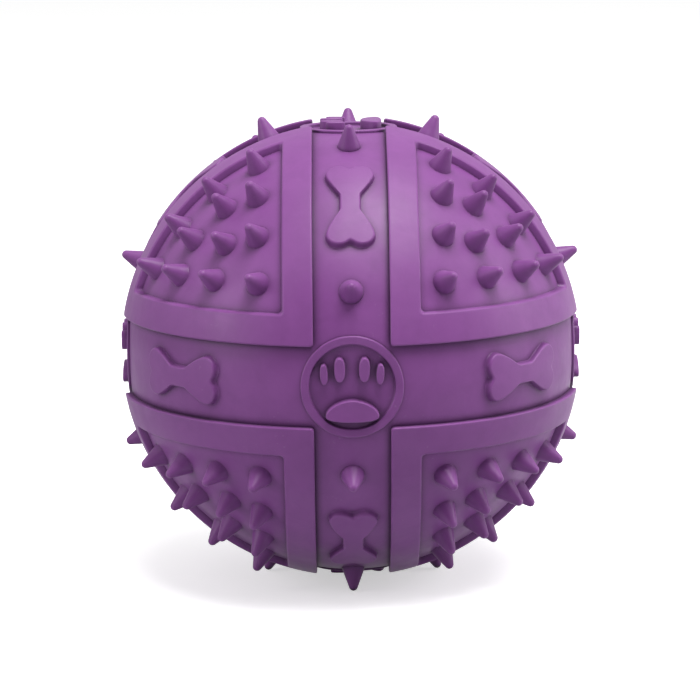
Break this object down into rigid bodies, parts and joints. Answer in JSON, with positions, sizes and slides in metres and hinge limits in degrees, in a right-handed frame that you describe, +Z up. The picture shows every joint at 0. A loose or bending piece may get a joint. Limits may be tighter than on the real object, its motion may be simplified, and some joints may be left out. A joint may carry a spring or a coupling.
{
  "type": "spiked rubber squeak ball",
  "caption": "Hollow moulded rubber play ball for a dog, with raised frames, round spikes, bone and paw relief and a reed squeaker pressed into its rear.",
  "frame": {"origin": "centre of the ball", "axes": "-Y towards the front emblem, +Y towards the squeaker, +Z up, +X to the right seen from the front"},
  "size_m": [0.089, 0.089, 0.0904],
  "materials": {
    "rubber_front": "matt moulded natural rubber, purple",
    "rubber_rear": "matt moulded natural rubber, purple",
    "housing_plastic": "satin off-white injection moulded",
    "cap_plastic": "satin off-white injection moulded",
    "shallot_plastic": "satin white injection moulded",
    "wedge_plastic": "satin off-white injection moulded",
    "tongue_film": "smooth thin sheet"
  },
  "bodies": {
    "ball": {"shell_front": "rubber_front", "shell_rear": "rubber_rear", "squeaker_housing": "housing_plastic", "squeaker_cap": "cap_plastic", "reed_shallot": "shallot_plastic", "reed_wedge": "wedge_plastic"},
    "reed": {"reed_tongue": "tongue_film"}
  },
  "joints": [
    {"name": "reed_flex", "type": "hinge", "parent": "ball", "child": "reed", "pos_m": [0, 0.037, 0.00045], "axis": [-1, 0, 0], "range_deg": [-2.5, 3], "stiffness_Nm_per_rad": 0.00004}
  ]
}
